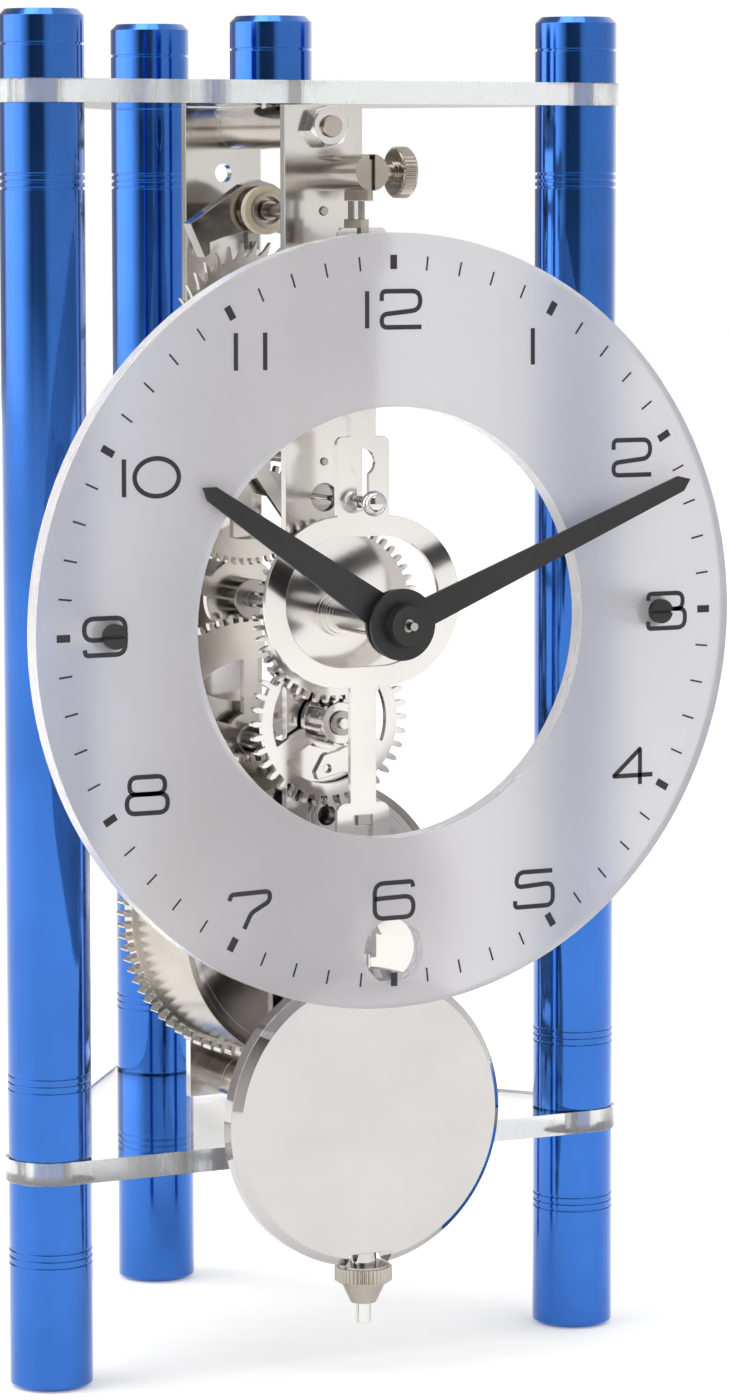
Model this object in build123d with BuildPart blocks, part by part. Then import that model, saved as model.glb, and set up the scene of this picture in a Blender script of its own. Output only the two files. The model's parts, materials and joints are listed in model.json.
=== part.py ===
"""Skeleton pendulum clock: acrylic plates on three pillars, a frosted ring dial and a spring-driven movement.

Millimetres. +X is to the right of the dial, +Y to the back, +Z up. The origin is the middle of the
clock's footprint box, on the surface that its feet stand on. Every wheel turns about an axis along Y.
"""

import os
from math import acos, asin, cos, pi, radians, sin

from build123d import *

# ---- Pillars and acrylic plates ----
PILLAR_RADIUS = 6.0
PILLAR_X = 43.0
FRONT_PILLAR_Y = -16.4
BACK_PILLAR_Y = 41.0
MOVEMENT_Y = -1.6
FOOT_HEIGHT = 30.0
PLATE_THICKNESS = 3.3
PLATE_CORNER = PILLAR_RADIUS + 0.35
PILLAR_LENGTH = 149.9
CAP_HEIGHT = 9.7
GROOVE_WIDTH = 0.35
GROOVE_DEPTH = 0.25
GROOVES_FROM_END = (10.0, 11.0, 12.0)
SPIGOT_RADIUS = 2.45
SPIGOT_HOLE = 2.5
SPIGOT_DEPTH = 6.0
STUD_RADIUS = 1.5
STUD_HOLE = 1.55
EDGE_BREAK = 0.5

BASE_Z = FOOT_HEIGHT
PILLAR_Z = BASE_Z + PLATE_THICKNESS
TOP_PLATE_Z = PILLAR_Z + PILLAR_LENGTH
CAP_Z = TOP_PLATE_Z + PLATE_THICKNESS

# ---- Axes of the movement, one above the other at X = 0 ----
BARREL_Z = 64.3
SECOND_Z = 88.8
CENTRE_Z = 110.0
THIRD_Z = 131.8
ESCAPE_Z = 149.6
ANCHOR_Z = 167.9
MINUTE_WHEEL_Z = CENTRE_Z - 15.8
CLICK_Z = 80.2
TOP_SPACER_Z = 180.0
BOTTOM_SPACER_Z = 36.55
POST_Z = 173.4
CRUTCH_PIN_Z = 126.6

# ---- Teeth: wheel, then the pinion that it drives ----
GREAT_TEETH, SECOND_LEAVES = 80, 7
SECOND_TEETH, CENTRE_LEAVES = 70, 10
CENTRE_TEETH, THIRD_LEAVES = 84, 7
THIRD_TEETH, ESCAPE_LEAVES = 77, 7
MINUTE_TEETH, CANNON_TEETH = 36, 12
HOUR_TEETH, MINUTE_LEAVES = 48, 12
ESCAPE_TEETH = 38
RATCHET_TEETH = 24
WHEEL_TOOTH_SHARE, WHEEL_ADDENDUM, WHEEL_DEDENDUM = 0.42, 1.1, 1.35
LEAF_SHARE, LEAF_ADDENDUM, LEAF_DEDENDUM = 0.34, 0.6, 1.5
SHORT_ADDENDUM = 0.7
UP, DOWN = pi / 2, -pi / 2

# ---- Movement plates ----
STRIP_HALF_WIDTH = 6.2
STRIP_THICKNESS = 1.5
FRONT_FACE_Y = -18.8
FRONT_INSIDE_Y = FRONT_FACE_Y + STRIP_THICKNESS
BACK_INSIDE_Y = 14.7
BACK_FACE_Y = BACK_INSIDE_Y + STRIP_THICKNESS
STRIP_BOTTOM_Z = PILLAR_Z + 0.1
STRIP_TOP_Z = TOP_PLATE_Z - 0.1
SPACER_RADIUS = 3.15
PIVOT_RADIUS = 0.5
PIVOT_CLEARANCE = 0.05
PIN_HOLE_RADIUS = 2.1

# ---- Dial and hands ----
DIAL_RADIUS = 55.0
DIAL_HOLE_RADIUS = 30.6
DIAL_FRONT_Y = -40.7
DIAL_THICKNESS = 3.0
DIAL_BACK_Y = DIAL_FRONT_Y + DIAL_THICKNESS
KEY_HOLE_RADIUS = 4.75
KEY_HOLE_Z = CENTRE_Z - 46.9
DIAL_SCREW_X = 43.4
HAND_THICKNESS = 0.6
HOUR_HAND_Y = -41.9
MINUTE_HAND_Y = -43.6
HOUR_HAND_ANGLE = 303.7
MINUTE_HAND_ANGLE = 67.7
ARBOR_TIP_Y = -47.0

# ---- Pendulum ----
LEADER_Y = -31.2
LEADER_THICKNESS = 0.8
LEADER_BACK_Y = LEADER_Y + LEADER_THICKNESS
LEADER_HALF_WIDTH = 2.05
BOB_Z = 37.6
BOB_RADIUS = 21.7
BOB_FRONT_Y = -33.2
BOB_THICKNESS = 4.5
ROD_Y = -30.95
ROD_RADIUS = 1.1


def upright(y):
    """Plane across the wheel axes at depth y, seen from the front: local x is X, local y is Z."""
    return Plane.XZ.offset(-y)


def disc(front, back, radius, z=0.0, x=0.0, mode=Mode.ADD):
    """Round slug along Y, from front to back."""
    with BuildSketch(upright(back)) as outline:
        with Locations((x, z)):
            Circle(radius)
    extrude(outline.sketch, amount=back - front, mode=mode)


def slab(front, back, left, right, bottom, top, mode=Mode.ADD):
    """Block between two depths, two widths and two heights."""
    with BuildSketch(upright(back)) as outline:
        with Locations(((left + right) / 2, (bottom + top) / 2)):
            Rectangle(right - left, top - bottom)
    extrude(outline.sketch, amount=back - front, mode=mode)


def column(bottom, top, radius, x=0.0, y=0.0, mode=Mode.ADD):
    """Round slug along Z."""
    with BuildSketch(Plane.XY.offset(bottom)) as outline:
        with Locations((x, y)):
            Circle(radius)
    extrude(outline.sketch, amount=top - bottom, mode=mode)


def sheet(front, back, points, mode=Mode.ADD):
    """Flat piece between two depths, with a straight-sided outline in X and Z."""
    with BuildSketch(upright(back)) as outline:
        with BuildLine():
            Polyline(*points, close=True)
        make_face()
    extrude(outline.sketch, amount=back - front, mode=mode)


def knurl(radius, ridges, depth, x=0.0, y=0.0):
    """Outline of a knurled rim, as wide as the given radius."""
    points = []
    for number in range(2 * ridges):
        reach = radius - depth * (number % 2)
        angle = pi * number / ridges
        points.append((x + reach * cos(angle), y + reach * sin(angle)))
    return points


def tooth_side(teeth, module, share, rolling, addendum, dedendum):
    """One flank of a clock tooth as (radius, half angle): radial below the pitch circle, epicycloid above."""
    pitch = teeth * module / 2
    half = share * pi / teeth
    side = [(pitch - dedendum * module, half), (pitch, half)]
    for part in (0.35, 0.7, 1.0):
        radius = pitch + addendum * module * part
        span = pitch + rolling
        roll = acos((span**2 + rolling**2 - radius**2) / (2 * rolling * span))
        turn = rolling / pitch * roll - asin(rolling * sin(roll) / radius)
        side.append((radius, half - turn))
    return side


def toothed(front, back, z, teeth, side, first):
    """Toothed disc about the axis at height z, with the middle of one tooth at the angle first."""
    points = []
    for number in range(teeth):
        middle = first + 2 * pi * number / teeth
        flanks = [(radius, -half) for radius, half in side]
        flanks += [(radius, half) for radius, half in reversed(side)]
        for radius, turn in flanks:
            points.append((radius * cos(middle + turn), z + radius * sin(middle + turn)))
    sheet(front, back, points)


def wheel(front, back, z, teeth, leaves, distance, first, addendum=WHEEL_ADDENDUM):
    """Wheel that drives a pinion at the given centre distance."""
    module = 2 * distance / (teeth + leaves)
    rolling = leaves * module / 4
    side = tooth_side(teeth, module, WHEEL_TOOTH_SHARE, rolling, addendum, WHEEL_DEDENDUM)
    toothed(front, back, z, teeth, side, first)


def pinion(front, back, z, leaves, teeth, distance, towards):
    """Pinion driven by a wheel, with the gap between two leaves towards that wheel."""
    module = 2 * distance / (teeth + leaves)
    rolling = teeth * module / 4
    side = tooth_side(leaves, module, LEAF_SHARE, rolling, LEAF_ADDENDUM, LEAF_DEDENDUM)
    toothed(front, back, z, leaves, side, towards + pi / leaves)


def crossings(front, back, z, outer, inner, spokes, spoke_width, first=90.0):
    """Windows between the spokes of a wheel."""
    with BuildSketch(upright(back)) as windows:
        with Locations((0, z)):
            Circle(outer)
            Circle(inner, mode=Mode.SUBTRACT)
            with PolarLocations(outer / 2, spokes, start_angle=first):
                Rectangle(outer + 2.0, spoke_width, mode=Mode.SUBTRACT)
    extrude(windows.sketch, amount=back - front, mode=Mode.SUBTRACT)


def arbor(front, back, z, radius, pivot=PIVOT_RADIUS):
    """Arbor with a thin pivot in each movement plate."""
    disc(front, back, pivot, z)
    disc(FRONT_INSIDE_Y + 0.3, BACK_INSIDE_Y - 0.3, radius, z)


def save(part, name):
    """Label a finished piece and write it under its name."""
    part.label = name
    export_step(part, f"parts/{name}.step")


os.makedirs("parts", exist_ok=True)

PILLARS = {
    "left": (-PILLAR_X, FRONT_PILLAR_Y),
    "right": (PILLAR_X, FRONT_PILLAR_Y),
    "back": (0.0, BACK_PILLAR_Y),
}


def ring_grooves(x, y, heights):
    """Narrow grooves turned round a pillar."""
    for height in heights:
        with BuildSketch(Plane.XY.offset(height - GROOVE_WIDTH / 2)) as ring:
            with Locations((x, y)):
                Circle(PILLAR_RADIUS + 1)
                Circle(PILLAR_RADIUS - GROOVE_DEPTH, mode=Mode.SUBTRACT)
        extrude(ring.sketch, amount=GROOVE_WIDTH, mode=Mode.SUBTRACT)


def rim(part, height):
    """Outer edge of a turned piece at a height."""
    return part.edges().filter_by(GeomType.CIRCLE).filter_by_position(Axis.Z, height - 0.01, height + 0.01)


# ---- Acrylic plates: rounded triangles, drilled for the pillar spigots ----
def acrylic(bottom, middle_hole):
    """Rounded triangle round the three pillars."""
    with BuildSketch(Plane.XY.offset(bottom)) as outline:
        with Locations(*PILLARS.values()):
            Circle(PLATE_CORNER)
        make_hull()
    extrude(outline.sketch, amount=PLATE_THICKNESS)
    for x, y in PILLARS.values():
        column(bottom, bottom + PLATE_THICKNESS, SPIGOT_HOLE, x, y, Mode.SUBTRACT)
    column(bottom, bottom + PLATE_THICKNESS, middle_hole, 0.0, MOVEMENT_Y, Mode.SUBTRACT)


with BuildPart() as bottom_plate:
    acrylic(BASE_Z, STUD_HOLE)
save(bottom_plate.part, "bottom_plate")

with BuildPart() as top_plate:
    acrylic(TOP_PLATE_Z, STUD_HOLE)
save(top_plate.part, "top_plate")

# ---- Pillars, with their feet and caps ----
with BuildPart() as pillar_feet:
    for x, y in PILLARS.values():
        column(0.0, FOOT_HEIGHT, PILLAR_RADIUS, x, y)
    chamfer(rim(pillar_feet, 0.0), EDGE_BREAK)
    for x, y in PILLARS.values():
        column(FOOT_HEIGHT, PILLAR_Z + SPIGOT_DEPTH, SPIGOT_RADIUS, x, y)
        ring_grooves(x, y, [FOOT_HEIGHT - depth for depth in GROOVES_FROM_END])
save(pillar_feet.part, "pillar_feet")

for side, (x, y) in PILLARS.items():
    with BuildPart() as pillar:
        column(PILLAR_Z, TOP_PLATE_Z, PILLAR_RADIUS, x, y)
        column(PILLAR_Z, PILLAR_Z + SPIGOT_DEPTH + 1, SPIGOT_HOLE, x, y, Mode.SUBTRACT)
        column(TOP_PLATE_Z - SPIGOT_DEPTH - 1, TOP_PLATE_Z, SPIGOT_HOLE, x, y, Mode.SUBTRACT)
        ring_grooves(x, y, [PILLAR_Z + depth for depth in GROOVES_FROM_END])
        ring_grooves(x, y, [TOP_PLATE_Z - depth for depth in GROOVES_FROM_END])
        if side != "back":
            screw_x = DIAL_SCREW_X if x > 0 else -DIAL_SCREW_X
            disc(FRONT_PILLAR_Y - 7, FRONT_PILLAR_Y, 1.3, CENTRE_Z, screw_x, Mode.SUBTRACT)
    save(pillar.part, f"{side}_pillar")

with BuildPart() as pillar_caps:
    for x, y in PILLARS.values():
        column(CAP_Z, CAP_Z + CAP_HEIGHT, PILLAR_RADIUS, x, y)
    chamfer(rim(pillar_caps, CAP_Z + CAP_HEIGHT), 0.9)
    for x, y in PILLARS.values():
        column(TOP_PLATE_Z - SPIGOT_DEPTH, CAP_Z, SPIGOT_RADIUS, x, y)
        ring_grooves(x, y, [CAP_Z + CAP_HEIGHT / 2])
save(pillar_caps.part, "pillar_caps")

# ---- Fixings of the movement: capped stud above, screw below ----
with BuildPart() as movement_cap:
    column(CAP_Z, CAP_Z + CAP_HEIGHT, PILLAR_RADIUS, 0.0, MOVEMENT_Y)
    chamfer(rim(movement_cap, CAP_Z + CAP_HEIGHT), 0.9)
    column(CAP_Z, CAP_Z + 6, STUD_HOLE, 0.0, MOVEMENT_Y, Mode.SUBTRACT)
    ring_grooves(0.0, MOVEMENT_Y, [CAP_Z + CAP_HEIGHT / 2])
save(movement_cap.part, "movement_cap")

with BuildPart() as movement_stud:
    column(TOP_SPACER_Z - 1.5, CAP_Z + 5.5, STUD_RADIUS, 0.0, MOVEMENT_Y)
save(movement_stud.part, "movement_stud")

with BuildPart() as base_screw:
    column(BASE_Z - 2.0, BASE_Z, 3.0, 0.0, MOVEMENT_Y)
    column(BASE_Z, BOTTOM_SPACER_Z + 1.0, STUD_RADIUS, 0.0, MOVEMENT_Y)
    with BuildSketch(Plane.XY.offset(BASE_Z - 2.0)) as driver_slot:
        with Locations((0, MOVEMENT_Y)):
            Rectangle(7.0, 0.8)
    extrude(driver_slot.sketch, amount=0.8, mode=Mode.SUBTRACT)
save(base_screw.part, "base_screw")


# ---- Movement frame ----
def end_spacer(z, drill_from, drill_to):
    """Round spacer between the movement plates, with a threaded end through each plate."""
    disc(FRONT_INSIDE_Y, BACK_INSIDE_Y, SPACER_RADIUS, z)
    disc(FRONT_FACE_Y - 3.2, BACK_FACE_Y + 3.2, STUD_RADIUS, z)
    with BuildSketch(upright(BACK_INSIDE_Y - 5.0)) as groove:
        with Locations((0, z)):
            Circle(SPACER_RADIUS + 1)
            Circle(SPACER_RADIUS - 0.12, mode=Mode.SUBTRACT)
    extrude(groove.sketch, amount=0.25, mode=Mode.SUBTRACT)
    column(drill_from, drill_to, STUD_HOLE, 0.0, MOVEMENT_Y, Mode.SUBTRACT)


with BuildPart() as top_spacer:
    end_spacer(TOP_SPACER_Z, TOP_SPACER_Z - 1.6, TOP_SPACER_Z + 4)
save(top_spacer.part, "top_spacer")

with BuildPart() as bottom_spacer:
    end_spacer(BOTTOM_SPACER_Z, BOTTOM_SPACER_Z - 4, BOTTOM_SPACER_Z + 1.1)
save(bottom_spacer.part, "bottom_spacer")


def strip_plate(front, back):
    """Narrow upright plate with the holes that both movement plates share."""
    slab(front, back, -STRIP_HALF_WIDTH, STRIP_HALF_WIDTH, STRIP_BOTTOM_Z, STRIP_TOP_Z)
    for z in (TOP_SPACER_Z, BOTTOM_SPACER_Z):
        disc(front, back, STUD_HOLE, z, mode=Mode.SUBTRACT)
    for z in (SECOND_Z, THIRD_Z, ESCAPE_Z):
        disc(front, back, PIVOT_RADIUS + PIVOT_CLEARANCE, z, mode=Mode.SUBTRACT)
    disc(front, back, 0.6 + PIVOT_CLEARANCE, ANCHOR_Z, mode=Mode.SUBTRACT)
    disc(front, back, 2.5 + PIVOT_CLEARANCE, BARREL_Z, mode=Mode.SUBTRACT)


with BuildPart() as front_movement_plate:
    strip_plate(FRONT_FACE_Y, FRONT_INSIDE_Y)
    disc(FRONT_FACE_Y, FRONT_INSIDE_Y, 1.0 + PIVOT_CLEARANCE, CENTRE_Z, mode=Mode.SUBTRACT)
    disc(FRONT_FACE_Y, FRONT_INSIDE_Y, PIN_HOLE_RADIUS, CRUTCH_PIN_Z, mode=Mode.SUBTRACT)
    disc(FRONT_FACE_Y, FRONT_INSIDE_Y, 1.5, POST_Z, mode=Mode.SUBTRACT)
    disc(FRONT_FACE_Y, FRONT_INSIDE_Y, 0.8, MINUTE_WHEEL_Z, mode=Mode.SUBTRACT)
    disc(FRONT_FACE_Y, FRONT_INSIDE_Y, 1.85, CLICK_Z, mode=Mode.SUBTRACT)
    disc(FRONT_FACE_Y, FRONT_INSIDE_Y, 0.8, 88.2, 3.44, mode=Mode.SUBTRACT)
    disc(FRONT_FACE_Y, FRONT_INSIDE_Y, 0.9, 155.5, 3.6, mode=Mode.SUBTRACT)
save(front_movement_plate.part, "front_movement_plate")

with BuildPart() as back_movement_plate:
    strip_plate(BACK_INSIDE_Y, BACK_FACE_Y)
    disc(BACK_INSIDE_Y, BACK_FACE_Y, PIVOT_RADIUS + PIVOT_CLEARANCE, CENTRE_Z, mode=Mode.SUBTRACT)
    disc(BACK_INSIDE_Y, BACK_FACE_Y, 1.4, POST_Z, mode=Mode.SUBTRACT)
save(back_movement_plate.part, "back_movement_plate")

NUT_HALF_FLATS = 2.75
NUT_THICKNESS = 2.4
NUT_FACE_RADIUS = 2.6
NUT_BEVEL_SPREAD = 4.1
with BuildPart() as nut:
    with BuildSketch() as hexagon:
        RegularPolygon(NUT_HALF_FLATS, 6, major_radius=False, rotation=12)
        Circle(STUD_HOLE, mode=Mode.SUBTRACT)
    extrude(hexagon.sketch, amount=NUT_THICKNESS)
    Cone(
        NUT_FACE_RADIUS + NUT_BEVEL_SPREAD, NUT_FACE_RADIUS, NUT_THICKNESS,
        align=(Align.CENTER, Align.CENTER, Align.MIN), mode=Mode.INTERSECT,
    )
with BuildPart() as spacer_nuts:
    for z in (TOP_SPACER_Z, BOTTOM_SPACER_Z):
        for y, turn in ((FRONT_FACE_Y, 90), (BACK_FACE_Y, -90)):
            with Locations(Location((0, y, z), (turn, 0, 0))):
                add(nut.part)
save(spacer_nuts.part, "spacer_nuts")

# ---- Barrel: great wheel, drum and cover round the mainspring and its arbor ----
GREAT_DISTANCE = SECOND_Z - BARREL_Z
GREAT_FRONT_Y, GREAT_BACK_Y = 1.6, 4.2
DRUM_RADIUS = 21.2
DRUM_INSIDE = 20.3
DRUM_FRONT_Y = -16.1
HUB_RADIUS = 5.0

with BuildPart() as great_wheel:
    wheel(GREAT_FRONT_Y, GREAT_BACK_Y, BARREL_Z, GREAT_TEETH, SECOND_LEAVES, GREAT_DISTANCE, UP)
    disc(GREAT_FRONT_Y, GREAT_BACK_Y, 2.5 + PIVOT_CLEARANCE, BARREL_Z, mode=Mode.SUBTRACT)
save(great_wheel.part, "great_wheel")

with BuildPart() as barrel_drum:
    disc(DRUM_FRONT_Y, GREAT_FRONT_Y, DRUM_RADIUS, BARREL_Z)
    disc(DRUM_FRONT_Y, GREAT_FRONT_Y, DRUM_INSIDE, BARREL_Z, mode=Mode.SUBTRACT)
save(barrel_drum.part, "barrel_drum")

with BuildPart() as barrel_cover:
    disc(DRUM_FRONT_Y + 0.3, DRUM_FRONT_Y + 1.3, DRUM_INSIDE, BARREL_Z)
    disc(DRUM_FRONT_Y + 0.3, DRUM_FRONT_Y + 1.3, 2.5 + PIVOT_CLEARANCE, BARREL_Z, mode=Mode.SUBTRACT)
    disc(DRUM_FRONT_Y + 0.3, DRUM_FRONT_Y + 0.5, DRUM_INSIDE - 1.0, BARREL_Z, mode=Mode.SUBTRACT)
save(barrel_cover.part, "barrel_cover")

SPRING_PITCH = 1.1
SPRING_TURNS = 13
SPRING_START = 5.4
SPRING_THICKNESS = 0.35
SPRING_FRONT_Y = DRUM_FRONT_Y + 1.6
SPRING_BACK_Y = GREAT_FRONT_Y - 0.3


def spiral_points(inset):
    """Points of the coiled mainspring's inner or outer face."""
    steps = 16
    points = []
    for step in range(SPRING_TURNS * steps + 1):
        angle = 2 * pi * step / steps
        radius = SPRING_START + SPRING_PITCH * step / steps + inset
        points.append((radius * cos(angle), BARREL_Z + radius * sin(angle)))
    return points


with BuildPart() as mainspring:
    sheet(SPRING_FRONT_Y, SPRING_BACK_Y, spiral_points(0.0) + spiral_points(SPRING_THICKNESS)[::-1])
save(mainspring.part, "mainspring")

RATCHET_FRONT_Y, RATCHET_BACK_Y = -19.9, -18.9
CLICK_FRONT_Y = -19.3
SQUARE_SIDE = 3.6
SQUARE_FRONT_Y = -29.0

with BuildPart() as barrel_arbor:
    disc(RATCHET_BACK_Y, BACK_FACE_Y + 0.8, 2.5, BARREL_Z)
    disc(SPRING_FRONT_Y, SPRING_BACK_Y, HUB_RADIUS, BARREL_Z)
    slab(
        SQUARE_FRONT_Y, RATCHET_BACK_Y, -SQUARE_SIDE / 2, SQUARE_SIDE / 2,
        BARREL_Z - SQUARE_SIDE / 2, BARREL_Z + SQUARE_SIDE / 2,
    )
save(barrel_arbor.part, "barrel_arbor")


def saw_teeth(z, teeth, tip, root, lean, crest):
    """Outline of a saw-toothed wheel whose tips point clockwise, seen from the front."""
    pitch = 2 * pi / teeth
    points = []
    for number in range(teeth):
        point_angle = pi / 2 - pitch * number
        shape = (
            (root, 0.80), (root + 0.35 * (tip - root), 0.42), (tip, crest), (tip, 0.0), (root, lean),
        )
        for radius, share in shape:
            angle = point_angle + share * pitch
            points.append((radius * cos(angle), z + radius * sin(angle)))
    return points


RATCHET_TIP = 9.0
with BuildPart() as ratchet_wheel:
    sheet(RATCHET_FRONT_Y, RATCHET_BACK_Y, saw_teeth(BARREL_Z, RATCHET_TEETH, RATCHET_TIP, 7.9, 0.05, 0.08))
    slab(
        RATCHET_FRONT_Y, RATCHET_BACK_Y, -SQUARE_SIDE / 2, SQUARE_SIDE / 2,
        BARREL_Z - SQUARE_SIDE / 2, BARREL_Z + SQUARE_SIDE / 2, Mode.SUBTRACT,
    )
save(ratchet_wheel.part, "ratchet_wheel")

with BuildPart() as click_rivet:
    disc(CLICK_FRONT_Y - 0.15, CLICK_FRONT_Y - 0.05, 2.1, CLICK_Z)
    disc(CLICK_FRONT_Y - 0.15, FRONT_INSIDE_Y, 1.85, CLICK_Z)
    disc(CLICK_FRONT_Y - 0.15, FRONT_INSIDE_Y, 1.5, CLICK_Z, mode=Mode.SUBTRACT)
save(click_rivet.part, "click_rivet")

with BuildPart() as click:
    disc(CLICK_FRONT_Y, RATCHET_BACK_Y, 2.7, CLICK_Z)
    sheet(
        CLICK_FRONT_Y, RATCHET_BACK_Y,
        [(-0.6, CLICK_Z - 2.3), (2.6, CLICK_Z - 0.4), (4.3, CLICK_Z - 7.0), (3.3, CLICK_Z - 7.0)],
    )
    disc(CLICK_FRONT_Y, RATCHET_BACK_Y, 1.9, CLICK_Z, mode=Mode.SUBTRACT)
save(click.part, "click")

with BuildPart() as click_spring:
    disc(FRONT_FACE_Y - 0.6, FRONT_FACE_Y, 1.9, 88.2, 3.44)
    sheet(
        FRONT_FACE_Y - 0.6, FRONT_FACE_Y,
        [(3.8, 86.6), (-1.4, 85.5), (-1.8, 86.6), (-0.4, 89.0), (3.0, 89.8)],
    )
    sheet(
        FRONT_FACE_Y - 0.5, FRONT_FACE_Y,
        [(4.6, 88.0), (5.6, 87.4), (5.6, 77.4), (5.25, 77.4), (5.25, 86.8)],
    )
    disc(FRONT_FACE_Y - 0.6, FRONT_FACE_Y, 0.65, 87.05, 0.17, mode=Mode.SUBTRACT)
    disc(FRONT_FACE_Y, FRONT_INSIDE_Y, 0.8, 88.2, 3.44)
save(click_spring.part, "click_spring")

# ---- Going train ----
with BuildPart() as second_arbor:
    disc(FRONT_FACE_Y, BACK_FACE_Y, PIVOT_RADIUS, SECOND_Z)
    disc(FRONT_INSIDE_Y + 0.3, 7.8, 0.9, SECOND_Z)
    pinion(1.0, 5.2, SECOND_Z, SECOND_LEAVES, GREAT_TEETH, GREAT_DISTANCE, DOWN)
save(second_arbor.part, "second_arbor")

SECOND_DISTANCE = CENTRE_Z - SECOND_Z
with BuildPart() as second_wheel:
    wheel(5.8, 7.0, SECOND_Z, SECOND_TEETH, CENTRE_LEAVES, SECOND_DISTANCE, UP)
    crossings(5.8, 7.0, SECOND_Z, 12.2, 4.2, 5, 2.4)
    disc(5.2, 5.8, 2.2, SECOND_Z)
    disc(5.2, 7.0, 0.9, SECOND_Z, mode=Mode.SUBTRACT)
save(second_wheel.part, "second_wheel")

CENTRE_DISTANCE = THIRD_Z - CENTRE_Z
with BuildPart() as centre_arbor:
    disc(ARBOR_TIP_Y + 1.6, FRONT_INSIDE_Y + 0.3, 1.0, CENTRE_Z)
    disc(ARBOR_TIP_Y, ARBOR_TIP_Y + 1.6, 0.6, CENTRE_Z)
    disc(FRONT_INSIDE_Y + 0.3, BACK_INSIDE_Y - 0.3, 1.2, CENTRE_Z)
    disc(BACK_INSIDE_Y - 0.3, BACK_FACE_Y, PIVOT_RADIUS, CENTRE_Z)
    pinion(5.3, 8.6, CENTRE_Z, CENTRE_LEAVES, SECOND_TEETH, SECOND_DISTANCE, DOWN)
    disc(4.7, 5.3, 3.05, CENTRE_Z)
save(centre_arbor.part, "centre_arbor")

with BuildPart() as centre_wheel:
    wheel(8.6, 9.8, CENTRE_Z, CENTRE_TEETH, THIRD_LEAVES, CENTRE_DISTANCE, UP, SHORT_ADDENDUM)
    crossings(8.6, 9.8, CENTRE_Z, 15.6, 6.0, 5, 3.0)
    disc(8.6, 9.8, 1.2, CENTRE_Z, mode=Mode.SUBTRACT)
save(centre_wheel.part, "centre_wheel")

ESCAPE_DISTANCE = ESCAPE_Z - THIRD_Z
with BuildPart() as third_arbor:
    arbor(FRONT_FACE_Y - 0.4, BACK_FACE_Y, THIRD_Z, 0.8)
    pinion(7.8, 11.0, THIRD_Z, THIRD_LEAVES, CENTRE_TEETH, CENTRE_DISTANCE, DOWN)
save(third_arbor.part, "third_arbor")

with BuildPart() as third_wheel:
    wheel(6.4, 7.4, THIRD_Z, THIRD_TEETH, ESCAPE_LEAVES, ESCAPE_DISTANCE, UP)
    crossings(6.4, 7.4, THIRD_Z, 12.9, 4.0, 5, 2.2)
    disc(5.7, 6.4, 1.8, THIRD_Z)
    disc(5.7, 7.4, 0.8, THIRD_Z, mode=Mode.SUBTRACT)
save(third_wheel.part, "third_wheel")

# ---- Escapement ----
ESCAPE_TIP = 13.7
ESCAPE_FRONT_Y, ESCAPE_BACK_Y = 3.1, 3.9
with BuildPart() as escape_arbor:
    arbor(FRONT_FACE_Y, BACK_FACE_Y, ESCAPE_Z, 0.7)
    pinion(5.8, 8.0, ESCAPE_Z, ESCAPE_LEAVES, THIRD_TEETH, ESCAPE_DISTANCE, DOWN)
save(escape_arbor.part, "escape_arbor")

with BuildPart() as escape_wheel:
    sheet(ESCAPE_FRONT_Y, ESCAPE_BACK_Y, saw_teeth(ESCAPE_Z, ESCAPE_TEETH, ESCAPE_TIP, 11.6, 0.14, 0.05))
    crossings(ESCAPE_FRONT_Y, ESCAPE_BACK_Y, ESCAPE_Z, 9.6, 3.4, 4, 1.9)
    disc(ESCAPE_BACK_Y, ESCAPE_BACK_Y + 1.0, 2.0, ESCAPE_Z)
    disc(ESCAPE_FRONT_Y, ESCAPE_BACK_Y + 1.0, 0.7, ESCAPE_Z, mode=Mode.SUBTRACT)
save(escape_wheel.part, "escape_wheel")

ANCHOR_FRONT_Y, ANCHOR_BACK_Y = 2.5, 5.1
ANCHOR_HALF = (
    (0.0, 4.5), (2.4, 3.8), (11.2, -1.9), (8.85, -6.9), (8.0, -6.3), (8.05, -4.7), (5.7, -3.9), (1.9, -3.1),
)
with BuildPart() as anchor:
    right_half = [(x, ANCHOR_Z + z) for x, z in ANCHOR_HALF]
    left_half = [(-x, z) for x, z in right_half[:0:-1]]
    sheet(ANCHOR_FRONT_Y, ANCHOR_BACK_Y, right_half + left_half)
    slab(ANCHOR_BACK_Y - 0.8, ANCHOR_BACK_Y + 0.9, -0.9, 0.9, ANCHOR_Z - 5.8, ANCHOR_Z - 2.0)
    disc(ANCHOR_FRONT_Y, ANCHOR_BACK_Y + 0.9, 1.0, ANCHOR_Z, mode=Mode.SUBTRACT)
save(anchor.part, "anchor")

with BuildPart() as anchor_arbor:
    arbor(FRONT_FACE_Y - 0.4, BACK_FACE_Y + 0.3, ANCHOR_Z, 1.0, 0.6)
save(anchor_arbor.part, "anchor_arbor")

with BuildPart() as anchor_collar:
    disc(1.3, ANCHOR_FRONT_Y, 3.3, ANCHOR_Z)
    disc(-0.9, 1.3, 2.55, ANCHOR_Z)
    disc(-0.9, 0.3, 2.05, ANCHOR_Z, mode=Mode.SUBTRACT)
    disc(-1.3, 0.4, 1.45, ANCHOR_Z)
    disc(-1.3, ANCHOR_FRONT_Y, 1.0, ANCHOR_Z, mode=Mode.SUBTRACT)
save(anchor_collar.part, "anchor_collar")

with BuildPart() as anchor_bush:
    disc(0.0, 1.3, 3.55, ANCHOR_Z)
    disc(0.0, 1.3, 2.55, ANCHOR_Z, mode=Mode.SUBTRACT)
save(anchor_bush.part, "anchor_bush")

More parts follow.
